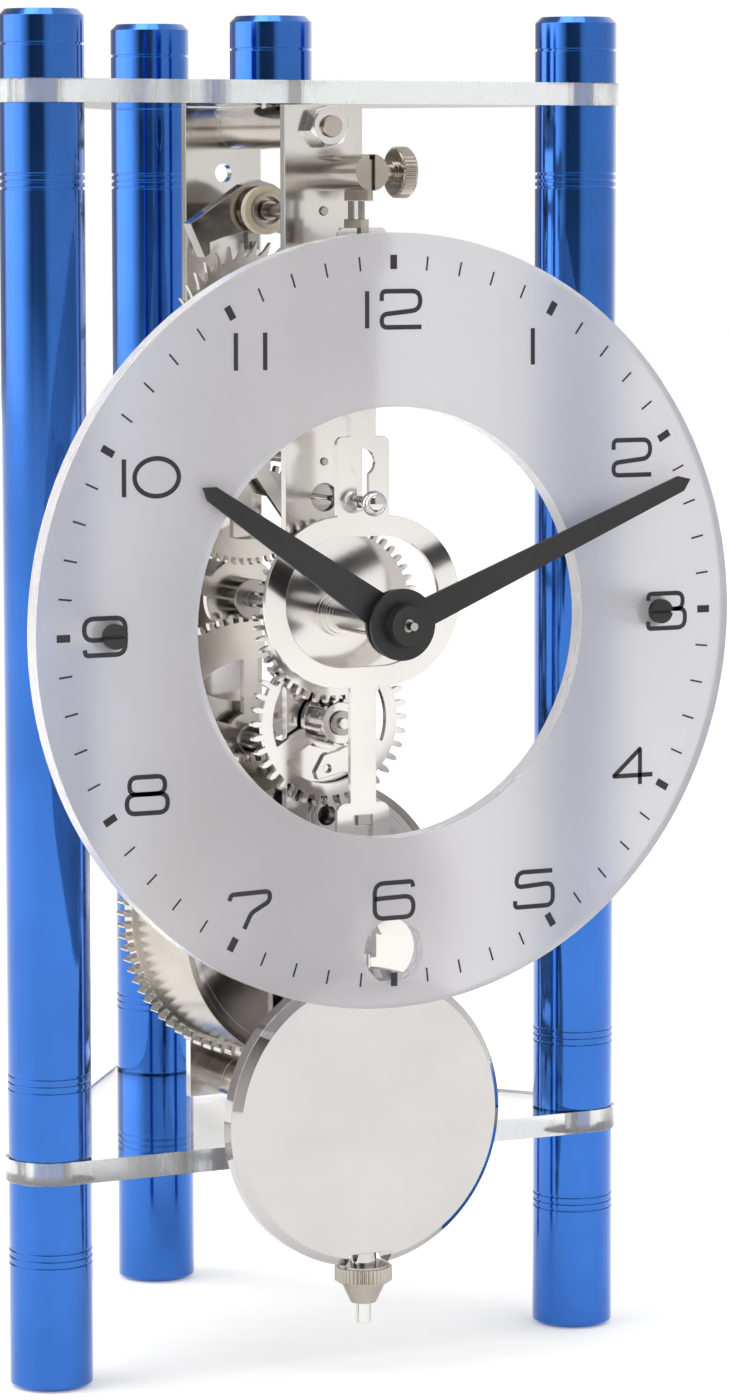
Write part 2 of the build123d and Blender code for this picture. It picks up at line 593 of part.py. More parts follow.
CRUTCH_FRONT_Y, CRUTCH_BACK_Y = -13.4, -12.6
PIN_BALL_Y = -34.6
with BuildPart() as crutch:
    disc(CRUTCH_FRONT_Y - 1.0, CRUTCH_BACK_Y + 1.0, 2.6, ANCHOR_Z)
    sheet(
        CRUTCH_FRONT_Y, CRUTCH_BACK_Y,
        [
            (0.0, ANCHOR_Z + 1.5), (5.4, ANCHOR_Z - 2.5),
            (5.4, CRUTCH_PIN_Z + 1.5), (3.9, CRUTCH_PIN_Z - 1.5),
            (-1.2, CRUTCH_PIN_Z - 1.5), (-1.2, CRUTCH_PIN_Z + 1.5), (3.2, CRUTCH_PIN_Z + 1.5),
            (3.2, ANCHOR_Z - 5.5), (-1.5, ANCHOR_Z - 1.5),
        ],
    )
    disc(CRUTCH_FRONT_Y - 1.0, CRUTCH_BACK_Y + 1.0, 1.0, ANCHOR_Z, mode=Mode.SUBTRACT)
    disc(LEADER_BACK_Y + 0.6, CRUTCH_FRONT_Y, 0.45, CRUTCH_PIN_Z)
    disc(PIN_BALL_Y, LEADER_BACK_Y + 0.6, 0.9, CRUTCH_PIN_Z)
    ball = Pos(0, PIN_BALL_Y, CRUTCH_PIN_Z) * Sphere(1.85, mode=Mode.PRIVATE)
    add(ball)
save(crutch.part, "crutch")

# ---- Motion work and hands ----
MOTION_DISTANCE = CENTRE_Z - MINUTE_WHEEL_Z
HOUR_WHEEL_FRONT_Y, HOUR_WHEEL_BACK_Y = -23.0, -22.0
with BuildPart() as cannon_pinion:
    pinion(-21.4, -19.1, CENTRE_Z, CANNON_TEETH, MINUTE_TEETH, MOTION_DISTANCE, DOWN)
    disc(MINUTE_HAND_Y + HAND_THICKNESS, -21.4, 1.5, CENTRE_Z)
    disc(MINUTE_HAND_Y + HAND_THICKNESS, -19.1, 1.0, CENTRE_Z, mode=Mode.SUBTRACT)
save(cannon_pinion.part, "cannon_pinion")

POST_FRONT_Y = -25.2
with BuildPart() as minute_wheel_post:
    disc(POST_FRONT_Y, FRONT_INSIDE_Y, 0.8, MINUTE_WHEEL_Z)
    disc(FRONT_FACE_Y - 0.5, FRONT_FACE_Y, 1.7, MINUTE_WHEEL_Z)
    with BuildSketch(upright(POST_FRONT_Y + 0.85)) as clip_groove:
        with Locations((0, MINUTE_WHEEL_Z)):
            Circle(1.2)
            Circle(0.6, mode=Mode.SUBTRACT)
    extrude(clip_groove.sketch, amount=0.4, mode=Mode.SUBTRACT)
save(minute_wheel_post.part, "minute_wheel_post")

with BuildPart() as minute_wheel:
    wheel(-20.5, -19.5, MINUTE_WHEEL_Z, MINUTE_TEETH, CANNON_TEETH, MOTION_DISTANCE, UP)
    crossings(-20.5, -19.5, MINUTE_WHEEL_Z, 9.2, 4.2, 3, 2.6, 330.0)
    pinion(-23.8, -20.5, MINUTE_WHEEL_Z, MINUTE_LEAVES, HOUR_TEETH, MOTION_DISTANCE, UP)
    disc(-24.2, -23.8, 3.0, MINUTE_WHEEL_Z)
    disc(-24.2, -19.5, 0.85, MINUTE_WHEEL_Z, mode=Mode.SUBTRACT)
save(minute_wheel.part, "minute_wheel")

with BuildPart() as minute_wheel_clip:
    disc(POST_FRONT_Y + 0.5, POST_FRONT_Y + 0.8, 1.8, MINUTE_WHEEL_Z)
    disc(POST_FRONT_Y + 0.5, POST_FRONT_Y + 0.8, 0.62, MINUTE_WHEEL_Z, mode=Mode.SUBTRACT)
    slab(
        POST_FRONT_Y + 0.5, POST_FRONT_Y + 0.8, 0.0, 2.5,
        MINUTE_WHEEL_Z - 0.55, MINUTE_WHEEL_Z + 0.55, Mode.SUBTRACT,
    )
save(minute_wheel_clip.part, "minute_wheel_clip")

with BuildPart() as hour_wheel:
    wheel(HOUR_WHEEL_FRONT_Y, HOUR_WHEEL_BACK_Y, CENTRE_Z, HOUR_TEETH, MINUTE_LEAVES, MOTION_DISTANCE, DOWN)
    disc(-24.1, HOUR_WHEEL_FRONT_Y, 3.2, CENTRE_Z)
    disc(-24.9, -24.1, 2.8, CENTRE_Z)
    disc(HOUR_HAND_Y + HAND_THICKNESS, -24.9, 2.3, CENTRE_Z)
    disc(HOUR_HAND_Y + HAND_THICKNESS, HOUR_WHEEL_BACK_Y, 1.56, CENTRE_Z, mode=Mode.SUBTRACT)
save(hour_wheel.part, "hour_wheel")


def hand(front, hub, bore, length, hub_width, tip_width, point, angle):
    """Flat baton hand with a round hub and a pointed end, turned clockwise from twelve."""
    blade = [
        (-hub_width / 2, 0), (-tip_width / 2, length - point), (0, length),
        (tip_width / 2, length - point), (hub_width / 2, 0),
    ]
    turn = radians(angle)
    turned = [
        (x * cos(turn) + z * sin(turn), CENTRE_Z + z * cos(turn) - x * sin(turn)) for x, z in blade
    ]
    sheet(front, front + HAND_THICKNESS, turned)
    disc(front, front + HAND_THICKNESS, hub, CENTRE_Z)
    disc(front, front + HAND_THICKNESS, bore, CENTRE_Z, mode=Mode.SUBTRACT)


with BuildPart() as hour_hand:
    hand(HOUR_HAND_Y, 4.9, 1.56, 36.2, 5.4, 2.3, 1.6, HOUR_HAND_ANGLE)
save(hour_hand.part, "hour_hand")

with BuildPart() as minute_hand:
    hand(MINUTE_HAND_Y, 5.1, 1.0, 50.7, 4.2, 2.3, 1.6, MINUTE_HAND_ANGLE)
save(minute_hand.part, "minute_hand")

with BuildPart() as hand_nut:
    sheet(MINUTE_HAND_Y - 1.9, MINUTE_HAND_Y - 0.5, knurl(3.1, 44, 0.17, 0.0, CENTRE_Z))
    disc(MINUTE_HAND_Y - 2.2, MINUTE_HAND_Y, 2.85, CENTRE_Z)
    disc(MINUTE_HAND_Y - 2.2, MINUTE_HAND_Y, 1.0, CENTRE_Z, mode=Mode.SUBTRACT)
save(hand_nut.part, "hand_nut")

# ---- Dial ----
with BuildPart() as dial:
    disc(DIAL_FRONT_Y, DIAL_BACK_Y, DIAL_RADIUS, CENTRE_Z)
    disc(DIAL_FRONT_Y, DIAL_BACK_Y, DIAL_HOLE_RADIUS, CENTRE_Z, mode=Mode.SUBTRACT)
    disc(DIAL_FRONT_Y, DIAL_BACK_Y, KEY_HOLE_RADIUS, KEY_HOLE_Z, mode=Mode.SUBTRACT)
    for x in (-DIAL_SCREW_X, DIAL_SCREW_X):
        disc(DIAL_FRONT_Y, DIAL_BACK_Y, 1.35, CENTRE_Z, x, Mode.SUBTRACT)
save(dial.part, "dial")

with BuildPart() as dial_spacers:
    for x, pillar_x in ((-DIAL_SCREW_X, -PILLAR_X), (DIAL_SCREW_X, PILLAR_X)):
        disc(DIAL_BACK_Y, FRONT_PILLAR_Y - 4.0, 2.5, CENTRE_Z, x)
        disc(DIAL_BACK_Y, FRONT_PILLAR_Y - 4.0, 1.35, CENTRE_Z, x, Mode.SUBTRACT)
        column(CENTRE_Z - 5, CENTRE_Z + 5, PILLAR_RADIUS, pillar_x, FRONT_PILLAR_Y, Mode.SUBTRACT)
save(dial_spacers.part, "dial_spacers")

with BuildPart() as dial_screws:
    for x in (-DIAL_SCREW_X, DIAL_SCREW_X):
        disc(DIAL_FRONT_Y - 1.1, DIAL_FRONT_Y, 1.75, CENTRE_Z, x)
        disc(DIAL_FRONT_Y, FRONT_PILLAR_Y - 1.0, 1.25, CENTRE_Z, x)
        slab(
            DIAL_FRONT_Y - 1.1, DIAL_FRONT_Y - 0.6, x - 2, x + 2,
            CENTRE_Z - 0.25, CENTRE_Z + 0.25, Mode.SUBTRACT,
        )
save(dial_screws.part, "dial_screws")

# ---- Suspension ----
POST_FRONT = -34.2
SCREW_Y = -30.0
with BuildPart() as suspension_post:
    disc(POST_FRONT, FRONT_FACE_Y, 2.6, POST_Z)
    disc(FRONT_FACE_Y, FRONT_INSIDE_Y, 1.5, POST_Z)
    slab(POST_FRONT, -26.0, -0.45, 0.45, POST_Z - 3, POST_Z + 3, Mode.SUBTRACT)
    with BuildSketch(Plane.YZ) as thread:
        with Locations((SCREW_Y, POST_Z)):
            Circle(1.3)
    extrude(thread.sketch, amount=5.0, mode=Mode.SUBTRACT)
save(suspension_post.part, "suspension_post")

with BuildPart() as suspension_thumbscrew:
    for start, end, radius in ((0.5, 5.5, 1.25), (4.9, 5.6, 1.7), (5.5, 7.8, 3.3)):
        with BuildSketch(Plane.YZ.offset(start)) as step:
            with Locations((SCREW_Y, POST_Z)):
                Circle(radius)
        extrude(step.sketch, amount=end - start)
    with BuildSketch(Plane.YZ.offset(5.7)) as grip:
        with BuildLine():
            Polyline(*knurl(3.65, 36, 0.3, SCREW_Y, POST_Z), close=True)
        make_face()
    extrude(grip.sketch, amount=1.8)
save(suspension_thumbscrew.part, "suspension_thumbscrew")

SPRING_TOP_Z, SPRING_LOW_Z = 169.4, 166.8
with BuildPart() as suspension_top_block:
    slab(-33.6, -26.2, -0.4, 0.4, SPRING_TOP_Z, 175.2)
save(suspension_top_block.part, "suspension_top_block")

with BuildPart() as suspension_spring:
    slab(-31.7, -29.9, -0.08, 0.08, SPRING_LOW_Z, SPRING_TOP_Z - 0.05)
    slab(-28.5, -26.7, -0.08, 0.08, SPRING_LOW_Z, SPRING_TOP_Z - 0.05)
save(suspension_spring.part, "suspension_spring")

HANGER_Y, HANGER_Z = -29.4, 164.4
with BuildPart() as suspension_low_block:
    slab(-31.9, -26.5, -0.6, 0.6, 163.0, SPRING_LOW_Z)
    with BuildSketch(Plane.YZ.offset(-1)) as cross_hole:
        with Locations((HANGER_Y, HANGER_Z)):
            Circle(0.52)
    extrude(cross_hole.sketch, amount=2, mode=Mode.SUBTRACT)
save(suspension_low_block.part, "suspension_low_block")

with BuildPart() as suspension_pin:
    with BuildSketch(Plane.YZ.offset(-2.9)) as pin_end:
        with Locations((HANGER_Y, HANGER_Z)):
            Circle(0.5)
    extrude(pin_end.sketch, amount=5.8)
save(suspension_pin.part, "suspension_pin")

# ---- Pendulum ----
RING_Z = 112.35
with BuildPart() as pendulum_leader:
    with BuildSketch(upright(LEADER_BACK_Y)) as leader_outline:
        with Locations((0, (124.0 + 162.0) / 2)):
            Rectangle(2 * LEADER_HALF_WIDTH, 162.0 - 124.0)
        with Locations((0, 162.6)):
            RectangleRounded(7.6, 6.0, 1.0)
        with Locations((0, (124.0 + 136.0) / 2)):
            RectangleRounded(8.4, 12.0, 1.1)
        with Locations((0, RING_Z)):
            RectangleRounded(31.2, 24.6, 12.25)
        with Locations((0, 92.0)):
            Rectangle(2 * LEADER_HALF_WIDTH, 20.0)
        with Locations((0, 76.0)):
            RectangleRounded(8.4, 14.8, 1.4)
        with Locations((0, RING_Z)):
            RectangleRounded(24.6, 18.7, 9.3, mode=Mode.SUBTRACT)
        with Locations((0, 132.3)):
            Circle(1.95, mode=Mode.SUBTRACT)
        with Locations((0, (125.4 + 132.3) / 2)):
            Rectangle(1.94, 132.3 - 125.4, mode=Mode.SUBTRACT)
        with Locations((0, 164.0)):
            Rectangle(1.4, 6.0, mode=Mode.SUBTRACT)
        with Locations((0, 75.9)):
            Rectangle(3.1, 11.4, mode=Mode.SUBTRACT)
    extrude(leader_outline.sketch, amount=LEADER_THICKNESS)
    for left, right in ((-2.4, -1.3), (1.3, 2.4)):
        slab(LEADER_BACK_Y, HANGER_Y + 1.0, left, right, HANGER_Z - 1.2, 165.6)
    with BuildSketch(Plane.YZ.offset(-4)) as lug_holes:
        with Locations((HANGER_Y, HANGER_Z)):
            Circle(0.52)
    extrude(lug_holes.sketch, amount=8, mode=Mode.SUBTRACT)
save(pendulum_leader.part, "pendulum_leader")

with BuildPart() as pendulum_rod:
    slab(LEADER_BACK_Y, LEADER_BACK_Y + 0.8, -LEADER_HALF_WIDTH, LEADER_HALF_WIDTH, 67.0, 80.0)
    slab(LEADER_Y, LEADER_BACK_Y + 0.8, -LEADER_HALF_WIDTH, LEADER_HALF_WIDTH, 67.0, 68.2)
    slab(LEADER_Y, LEADER_BACK_Y, -LEADER_HALF_WIDTH, LEADER_HALF_WIDTH, 60.8, 67.0)
    disc(LEADER_Y - 0.05, LEADER_BACK_Y, 1.45, 72.3)
    disc(LEADER_Y - 0.65, LEADER_Y - 0.05, 2.3, 72.3)
    column(7.3, 61.5, ROD_RADIUS, 0.0, ROD_Y)
save(pendulum_rod.part, "pendulum_rod")

NOTCH_HALF_WIDTH = 3.4
NUT_TOP_Z = 16.0
with BuildPart() as pendulum_bob:
    disc(BOB_FRONT_Y, BOB_FRONT_Y + BOB_THICKNESS, BOB_RADIUS, BOB_Z)
    rim_edges = pendulum_bob.edges().filter_by(GeomType.CIRCLE)
    chamfer(rim_edges.sort_by(Axis.Y)[0], 1.2)
    chamfer(pendulum_bob.edges().filter_by(GeomType.CIRCLE).sort_by(Axis.Y)[-1], 1.0)
    slab(
        BOB_FRONT_Y, BOB_FRONT_Y + BOB_THICKNESS, -NOTCH_HALF_WIDTH, NOTCH_HALF_WIDTH,
        BOB_Z - BOB_RADIUS, 17.9, Mode.SUBTRACT,
    )
    column(10.0, 62.0, ROD_RADIUS + 0.08, 0.0, ROD_Y, Mode.SUBTRACT)
    column(NUT_TOP_Z, 18.5, 1.9, 0.0, ROD_Y)
    column(10.0, 20.0, ROD_RADIUS + 0.08, 0.0, ROD_Y, Mode.SUBTRACT)
save(pendulum_bob.part, "pendulum_bob")

with BuildPart() as rating_nut:
    with BuildSketch(Plane.XY.offset(13.6)) as flange:
        with BuildLine():
            Polyline(*knurl(4.15, 40, 0.3, 0.0, ROD_Y), close=True)
        make_face()
    extrude(flange.sketch, amount=NUT_TOP_Z - 13.9)
    column(13.4, NUT_TOP_Z, 3.75, 0.0, ROD_Y)
    with BuildSketch(Plane.XY.offset(13.4)) as cone_top:
        with Locations((0, ROD_Y)):
            Circle(3.3)
    with BuildSketch(Plane.XY.offset(10.4)) as cone_bottom:
        with Locations((0, ROD_Y)):
            Circle(1.9)
    loft(sections=[cone_bottom.sketch, cone_top.sketch])
    column(10.4, NUT_TOP_Z, ROD_RADIUS + 0.06, 0.0, ROD_Y, Mode.SUBTRACT)
save(rating_nut.part, "rating_nut")
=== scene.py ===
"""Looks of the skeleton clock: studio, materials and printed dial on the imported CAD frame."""

import json
from math import cos, pi, radians, sin

import bmesh
import bpy
from mathutils import Euler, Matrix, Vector


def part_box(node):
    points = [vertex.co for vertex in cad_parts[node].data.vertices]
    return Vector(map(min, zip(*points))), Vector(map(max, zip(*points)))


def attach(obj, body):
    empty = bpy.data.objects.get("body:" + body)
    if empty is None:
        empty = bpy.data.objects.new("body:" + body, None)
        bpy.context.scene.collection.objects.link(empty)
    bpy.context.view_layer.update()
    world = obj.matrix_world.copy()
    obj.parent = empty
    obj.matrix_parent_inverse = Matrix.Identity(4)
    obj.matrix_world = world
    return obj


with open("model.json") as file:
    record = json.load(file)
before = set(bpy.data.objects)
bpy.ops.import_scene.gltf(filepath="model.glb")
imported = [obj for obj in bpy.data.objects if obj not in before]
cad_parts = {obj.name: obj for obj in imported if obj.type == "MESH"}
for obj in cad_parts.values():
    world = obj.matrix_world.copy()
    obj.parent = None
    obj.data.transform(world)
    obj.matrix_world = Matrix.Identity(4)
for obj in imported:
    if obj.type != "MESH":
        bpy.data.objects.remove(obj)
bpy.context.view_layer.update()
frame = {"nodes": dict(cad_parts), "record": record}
MM = 0.001
EDGE_RADIUS = 0.14 * MM
ACRYLIC_IOR = 1.49
FLAT_FACE_SHARE = 0.7

# ---- Places taken from the frame ----
DIAL_LOW, DIAL_HIGH = (Vector(corner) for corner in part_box("dial"))
DIAL_CENTRE_Z = (DIAL_LOW.z + DIAL_HIGH.z) / 2
DIAL_FRONT_Y = DIAL_LOW.y


# ---- Materials ----
class Nodes:
    """Short way to build a node tree, for a material or for the world."""

    def __init__(self, tree, output_kind):
        self.tree = tree
        self.tree.nodes.clear()
        self.output = self.add(output_kind)

    def add(self, kind, **values):
        node = self.tree.nodes.new(kind)
        for key, value in values.items():
            setattr(node, key, value)
        return node

    def link(self, source, target):
        self.tree.links.new(source, target)

    def noise(self, scale, detail=3.0, stretch=(1, 1, 1)):
        """Noise in object space, finer along an axis with a larger stretch."""
        place = self.add("ShaderNodeTexCoord")
        mapping = self.add("ShaderNodeMapping")
        mapping.inputs["Scale"].default_value = stretch
        texture = self.add("ShaderNodeTexNoise")
        texture.inputs["Scale"].default_value = scale
        texture.inputs["Detail"].default_value = detail
        self.link(place.outputs["Object"], mapping.inputs["Vector"])
        self.link(mapping.outputs["Vector"], texture.inputs["Vector"])
        return texture.outputs["Fac"]

    def ramp(self, factor, low, high, start=0.35, end=0.65):
        """Colour that goes from low to high over a stretch of the factor."""
        ramp = self.add("ShaderNodeValToRGB")
        ramp.color_ramp.elements[0].position = start
        ramp.color_ramp.elements[1].position = end
        ramp.color_ramp.elements[0].color = (*low, 1)
        ramp.color_ramp.elements[1].color = (*high, 1)
        self.link(factor, ramp.inputs["Fac"])
        return ramp.outputs["Color"]

    def span(self, factor, low, high):
        """Number that goes from low to high."""
        span = self.add("ShaderNodeMapRange")
        span.inputs["From Min"].default_value = 0.3
        span.inputs["From Max"].default_value = 0.7
        span.inputs["To Min"].default_value = low
        span.inputs["To Max"].default_value = high
        self.link(factor, span.inputs["Value"])
        return span.outputs["Result"]

    def bump(self, height, distance, strength=1.0, edge=0.0):
        """Fine relief, on edges rounded by the given radius."""
        bump = self.add("ShaderNodeBump")
        if edge:
            bevel = self.add("ShaderNodeBevel", samples=6)
            bevel.inputs["Radius"].default_value = edge
            self.link(bevel.outputs["Normal"], bump.inputs["Normal"])
        bump.inputs["Distance"].default_value = distance
        bump.inputs["Strength"].default_value = strength
        self.link(height, bump.inputs["Height"])
        return bump.outputs["Normal"]

    def mix(self, factor, first, second):
        """First shader where the factor is 0, second where it is 1."""
        mix = self.add("ShaderNodeMixShader")
        self.link(factor, mix.inputs["Fac"])
        self.link(first.outputs[0], mix.inputs[1])
        self.link(second.outputs[0], mix.inputs[2])
        return mix

    def principled(self, **values):
        shader = self.add("ShaderNodeBsdfPrincipled")
        for key, value in values.items():
            shader.inputs[key.replace("_", " ")].default_value = value
        return shader

    def finish(self, shader):
        self.link(shader.outputs[0], self.output.inputs["Surface"])


def new_material(name):
    """Empty material, and the helper that fills its node tree."""
    material = bpy.data.materials.new(name)
    material.use_nodes = True
    return material, Nodes(material.node_tree, "ShaderNodeOutputMaterial")


MARK_SCALE = 900
MARK_DEPTH = 0.004 * MM
COAT_ROUGHNESS = 0.08


def metal(name, low, high, rough_low, rough_high, scratch, stretch=(1, 1, 1), coat=0.0):
    """Metal with a slightly uneven colour, uneven polish and fine marks."""
    material, nodes = new_material(name)
    shader = nodes.principled(Metallic=1.0, Coat_Weight=coat, Coat_Roughness=COAT_ROUGHNESS)
    cloud = nodes.noise(60, 4)
    marks = nodes.noise(MARK_SCALE, 2, stretch)
    nodes.link(nodes.ramp(cloud, low, high), shader.inputs["Base Color"])
    nodes.link(nodes.span(cloud, rough_low, rough_high), shader.inputs["Roughness"])
    nodes.link(nodes.bump(marks, MARK_DEPTH, scratch, EDGE_RADIUS), shader.inputs["Normal"])
    nodes.finish(shader)
    return material


def facing_factor(nodes, axis):
    """1 on faces across the axis, 0 on the edges beside them."""
    place = nodes.add("ShaderNodeTexCoord")
    split = nodes.add("ShaderNodeSeparateXYZ")
    nodes.link(place.outputs["Normal"], split.inputs["Vector"])
    size = nodes.add("ShaderNodeMath", operation="ABSOLUTE")
    nodes.link(split.outputs[axis], size.inputs[0])
    over = nodes.add("ShaderNodeMath", operation="GREATER_THAN")
    over.inputs[1].default_value = FLAT_FACE_SHARE
    nodes.link(size.outputs[0], over.inputs[0])
    return over.outputs[0]


def clear_acrylic():
    """Cast acrylic with clear faces and sawn, slightly milky edges."""
    material, nodes = new_material("clear_acrylic")
    face = nodes.principled(Transmission_Weight=1.0, IOR=ACRYLIC_IOR)
    face.inputs["Base Color"].default_value = (0.97, 0.98, 0.98, 1)
    cloud = nodes.noise(25, 2)
    nodes.link(nodes.span(cloud, 0.0, 0.03), face.inputs["Roughness"])
    edge = nodes.principled(Transmission_Weight=0.8, IOR=ACRYLIC_IOR)
    edge.inputs["Base Color"].default_value = (0.92, 0.93, 0.94, 1)
    saw = nodes.noise(1400, 2, (1, 1, 0.05))
    nodes.link(nodes.span(saw, 0.08, 0.3), edge.inputs["Roughness"])
    nodes.link(nodes.bump(saw, 0.01 * MM), edge.inputs["Normal"])
    nodes.finish(nodes.mix(facing_factor(nodes, "Z"), edge, face))
    return material


def frosted_acrylic():
    """Dial: frosted grey faces that let blurred light through, and bright clear edges."""
    material, nodes = new_material("frosted_acrylic")
    face = nodes.principled(Transmission_Weight=0.62, IOR=ACRYLIC_IOR)
    grain = nodes.noise(2500, 2)
    cloud = nodes.noise(14, 3)
    nodes.link(nodes.ramp(cloud, (0.72, 0.715, 0.74), (0.78, 0.775, 0.80)), face.inputs["Base Color"])
    nodes.link(nodes.span(cloud, 0.38, 0.45), face.inputs["Roughness"])
    nodes.link(nodes.bump(grain, 0.004 * MM), face.inputs["Normal"])
    edge = nodes.principled(Transmission_Weight=0.5, IOR=ACRYLIC_IOR)
    edge.inputs["Base Color"].default_value = (0.95, 0.94, 0.96, 1)
    turned = nodes.noise(900, 2, (0.1, 1, 0.1))
    nodes.link(nodes.span(turned, 0.12, 0.3), edge.inputs["Roughness"])
    nodes.finish(nodes.mix(facing_factor(nodes, "Y"), edge, face))
    return material


def plastic(name, low, high, rough_low, rough_high, scale, depth, glow=0.0):
    """Opaque coat or plastic with a fine grain."""
    material, nodes = new_material(name)
    shader = nodes.principled(Emission_Strength=glow, Specular_IOR_Level=0.35)
    shader.inputs["Emission Color"].default_value = (1, 1, 1, 1)
    cloud = nodes.noise(50, 3)
    grain = nodes.noise(scale, 2)
    nodes.link(nodes.ramp(cloud, low, high), shader.inputs["Base Color"])
    nodes.link(nodes.span(grain, rough_low, rough_high), shader.inputs["Roughness"])
    nodes.link(nodes.bump(grain, depth * MM), shader.inputs["Normal"])
    nodes.finish(shader)
    return material


NICKEL = metal("nickel", (0.66, 0.635, 0.615), (0.74, 0.72, 0.705), 0.09, 0.18, 0.3)
# Spacers, posts and other parts inside the movement get a darker, browner copy of the nickel. The darker
# colour is painted shade for the darker surroundings there; the turned marks along them are real.
SHADED_NICKEL = metal("turned_nickel_painted_shade", (0.38, 0.345, 0.30), (0.52, 0.48, 0.43), 0.16, 0.27, 0.5, (3, 0.2, 3))
WHEEL = metal("wheel_nickel", (0.54, 0.51, 0.47), (0.68, 0.65, 0.61), 0.12, 0.24, 0.4)
MIRROR = metal("polished_steel", (0.60, 0.585, 0.58), (0.64, 0.625, 0.62), 0.03, 0.07, 0.04)
BOB = metal("bob_steel", (0.50, 0.485, 0.48), (0.53, 0.515, 0.51), 0.03, 0.06, 0.04)
GREY_MIRROR = metal("anchor_steel", (0.30, 0.285, 0.27), (0.40, 0.385, 0.37), 0.08, 0.16, 0.3)
TURNED = metal("steel", (0.34, 0.32, 0.30), (0.48, 0.455, 0.43), 0.18, 0.30, 0.6, (0.2, 3, 0.2))
BLUE = metal(
    "blue_anodised", (0.015, 0.120, 0.46), (0.021, 0.140, 0.54), 0.10, 0.14, 0.15, (3, 3, 0.05), coat=0.6,
)
DARK = plastic("dark_metal", (0.016, 0.015, 0.016), (0.026, 0.025, 0.026), 0.38, 0.5, 1800, 0.006)
CREAM = plastic("cream_plastic", (0.74, 0.62, 0.44), (0.80, 0.70, 0.52), 0.3, 0.42, 600, 0.006)
INK = plastic("dial_ink", (0.018, 0.018, 0.022), (0.03, 0.028, 0.032), 0.45, 0.6, 1500, 0.002)
FLOOR = plastic("studio_floor", (0.86, 0.86, 0.86), (0.88, 0.88, 0.88), 0.6, 0.7, 40, 0.02, glow=0.32)

LOOKS = {
    "nickel": NICKEL,
    "polished_steel": MIRROR,
    "steel": TURNED,
    "blue_anodised": BLUE,
    "dark_metal": DARK,
    "cream_plastic": CREAM,
    "clear_acrylic": clear_acrylic(),
    "frosted_acrylic": frosted_acrylic(),
}
# Nodes that get the darker nickel with painted shade: spacers, posts, barrel and suspension parts inside the
# movement.
SHADED_NODES = (
    "top_spacer", "bottom_spacer", "suspension_post", "barrel_drum", "anchor_collar",
    "suspension_low_block", "suspension_top_block", "suspension_thumbscrew", "rating_nut",
)
WHEEL_NODES = ("great_wheel", "second_wheel", "third_wheel", "centre_wheel", "escape_wheel")
NODE_LOOKS = {
    "anchor": GREY_MIRROR,
    "pendulum_bob": BOB,
    **dict.fromkeys(SHADED_NODES, SHADED_NICKEL),
    **dict.fromkeys(WHEEL_NODES, WHEEL),
}


def dress_nodes():
    """Give each CAD node its own look, or that of its material slot."""
    slots = {part["node"]: part["material_slot"] for part in frame["record"]["subparts"]}
    for node, obj in frame["nodes"].items():
        obj.data.materials.clear()
        obj.data.materials.append(NODE_LOOKS.get(node, LOOKS[slots[node]]))


# ---- Meshes ----
def add_piece(name, mesh, body, material):
    """Put a finished mesh on a body."""
    piece = bpy.data.objects.new(name, mesh)
    bpy.context.scene.collection.objects.link(piece)
    mesh.materials.append(material)
    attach(piece, body)
    return piece


# ---- Print on the dial ----
# Strokes are in millimetres, from the middle of a figure, to the right and up.
PEN = 0.66
MINUTE_PEN = 0.26
HOUR_PEN = 1.05
TRACK_RADII = (49.9, 51.9)
INK_THICKNESS = 0.04
ROUND_STEPS = 6
ZERO_STEPS = 48
ZERO_HALF_WIDTH = 3.35
ZERO_HALF_HEIGHT = 2.6


def rounded(points, radius, closed=False):
    """Path with a round corner at each inner point."""
    path = []
    count = len(points)
    for number, (x, z) in enumerate(points):
        if not closed and number in (0, count - 1):
            path.append((x, z))
            continue
        before = Vector(points[number - 1]) - Vector((x, z))
        after = Vector(points[(number + 1) % count]) - Vector((x, z))
        reach = min(radius, before.length / 2, after.length / 2)
        start = Vector((x, z)) + before.normalized() * reach
        end = Vector((x, z)) + after.normalized() * reach
        for step in range(ROUND_STEPS + 1):
            share = step / ROUND_STEPS
            corner = (1 - share) ** 2 * start + 2 * share * (1 - share) * Vector((x, z)) + share**2 * end
            path.append((corner.x, corner.y))
    return path


def oval(half_width, half_height, steps):
    """Closed oval round the middle of a figure."""
    turns = [2 * pi * step / steps for step in range(steps)]
    return [(half_width * cos(turn), half_height * sin(turn)) for turn in turns]


